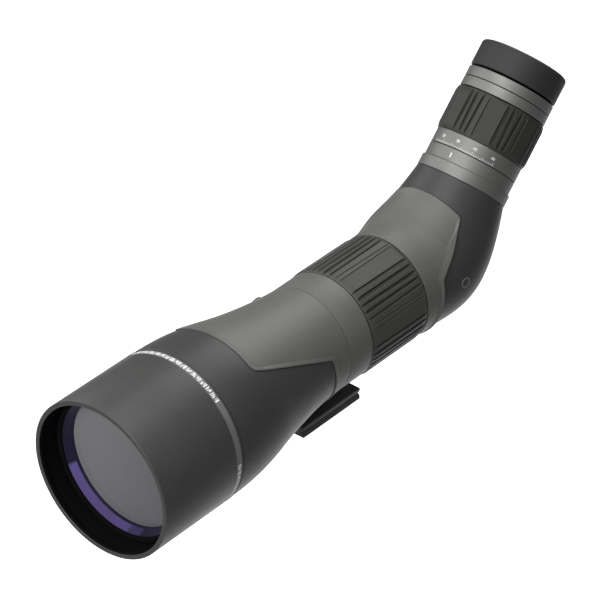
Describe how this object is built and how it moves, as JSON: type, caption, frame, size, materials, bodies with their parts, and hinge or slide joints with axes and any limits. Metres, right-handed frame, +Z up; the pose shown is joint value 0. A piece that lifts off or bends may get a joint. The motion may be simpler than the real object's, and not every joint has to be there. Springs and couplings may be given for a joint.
{
  "type": "spotting scope",
  "caption": "Angled spotting scope with sliding sunshade, rotating body, ribbed focus ring, zoom eyepiece, twist-up eyecup and a dovetail tripod foot.",
  "frame": {"origin": "centre of the tripod thread at the underside of the foot", "axes": "+Z up, -Y towards the objective, +X the scope's left side"},
  "size_m": [0.0954, 0.3856, 0.16],
  "materials": {
    "hood_paint": "satin dark grey",
    "silver_print": "printed band",
    "inner_black": "matt black anodised",
    "lens_glass": "coated",
    "seal_rubber": "matt",
    "guide_felt": "felt",
    "bush_brass": "turned",
    "dark_armour": "matt charcoal",
    "grey_armour": "satin warm grey",
    "black_anodised": "black anodised",
    "screw_steel": "machined",
    "tip_nylon": "matt",
    "grip_rubber": "ribbed matt",
    "ring_metal": "fine turned gunmetal",
    "cup_rubber": "soft matt"
  },
  "bodies": {
    "front_body": {"objective_barrel": "inner_black", "objective_cell": "inner_black", "front_lens": "lens_glass", "rear_lens": "lens_glass", "lens_spacer": "inner_black", "lens_retaining_ring": "inner_black", "cell_seal": "seal_rubber", "hood_guide_ring": "guide_felt", "front_baffle": "inner_black", "middle_baffle": "inner_black", "rotation_bush": "bush_brass", "barrel_armour_dark": "dark_armour", "barrel_armour_grey": "grey_armour", "foot": "black_anodised", "thread_insert": "screw_steel", "foot_screws": "screw_steel"},
    "sunshade": {"sunshade": "hood_paint", "sunshade_band": "silver_print"},
    "lock_knob": {"lock_knob": "black_anodised", "lock_screw": "screw_steel", "lock_tip": "tip_nylon"},
    "rear_body": {"rear_barrel": "inner_black", "rotation_retaining_ring": "inner_black", "collar_ring": "grey_armour", "prism_housing": "inner_black", "prism_armour_grey": "grey_armour", "prism_armour_dark": "dark_armour", "prism": "lens_glass", "prism_frame": "inner_black", "prism_strap": "screw_steel", "prism_screws": "screw_steel", "eyepiece_tube": "inner_black", "index_ring": "ring_metal", "zoom_stop_ring": "ring_metal", "eyecup_base_ring": "ring_metal", "field_lens": "lens_glass", "eye_lens_cell": "inner_black", "inner_eye_lens": "lens_glass", "eye_lens_spacer": "inner_black", "outer_eye_lens": "lens_glass"},
    "focus_ring": {"focus_core": "inner_black", "focus_grip": "grip_rubber"},
    "focus_cell": {"focus_cell": "inner_black", "focus_lens": "lens_glass", "focus_pin": "screw_steel"},
    "zoom_ring": {"zoom_ring": "ring_metal", "zoom_grip": "grip_rubber"},
    "zoom_front": {"zoom_front_cell": "inner_black", "zoom_front_lens": "lens_glass"},
    "zoom_rear": {"zoom_rear_cell": "inner_black", "zoom_rear_lens": "lens_glass"},
    "eyecup_cam": {"eyecup_cam": "inner_black"},
    "eyecup": {"eyecup_sleeve": "inner_black", "eyecup": "cup_rubber"}
  },
  "joints": [
    {"name": "sunshade_slide", "type": "slide", "parent": "front_body", "child": "sunshade", "axis": [0, -1, 0], "range_m": [0, 0.0345]},
    {"name": "body_rotation", "type": "hinge", "parent": "front_body", "child": "rear_body", "pos_m": [0, -0.001, 0.046], "axis": [0, 1, 0], "continuous": true},
    {"name": "lock_turn", "type": "hinge", "parent": "front_body", "child": "lock_knob", "pos_m": [-0.03243, -0.007, 0.06044], "axis": [-0.9135, 0, 0.4067], "range_deg": [0, 270]},
    {"name": "focus_turn", "type": "hinge", "parent": "rear_body", "child": "focus_ring", "pos_m": [0, 0.043, 0.046], "axis": [0, 1, 0], "range_deg": [-270, 270]},
    {"name": "focus_slide", "type": "slide", "parent": "rear_body", "child": "focus_cell", "axis": [0, 1, 0], "range_m": [-0.0073, 0.0073]},
    {"name": "zoom_turn", "type": "hinge", "parent": "rear_body", "child": "zoom_ring", "pos_m": [0, 0.1033, 0.046], "axis": [0, 0.7071, 0.7071], "range_deg": [-49, 25]},
    {"name": "zoom_front_slide", "type": "slide", "parent": "rear_body", "child": "zoom_front", "axis": [0, 0.7071, 0.7071], "range_m": [-0.0032, 0.0062]},
    {"name": "zoom_rear_slide", "type": "slide", "parent": "rear_body", "child": "zoom_rear", "axis": [0, 0.7071, 0.7071], "range_m": [-0.0062, 0.0032]},
    {"name": "eyecup_turn", "type": "hinge", "parent": "rear_body", "child": "eyecup_cam", "pos_m": [0, 0.1033, 0.046], "axis": [0, 0.7071, 0.7071], "range_deg": [0, 120]},
    {"name": "eyecup_slide", "type": "slide", "parent": "eyecup_cam", "child": "eyecup", "axis": [0, 0.7071, 0.7071], "range_m": [0, 0.0091]}
  ],
  "couplings": [
    {"joint": "focus_slide", "follows": "focus_turn", "m_per_rad": 0.0015},
    {"joint": "zoom_front_slide", "follows": "zoom_turn", "m_per_rad": -0.007},
    {"joint": "zoom_rear_slide", "follows": "zoom_turn", "m_per_rad": 0.007},
    {"joint": "eyecup_slide", "follows": "eyecup_turn", "m_per_rad": 0.004297}
  ]
}
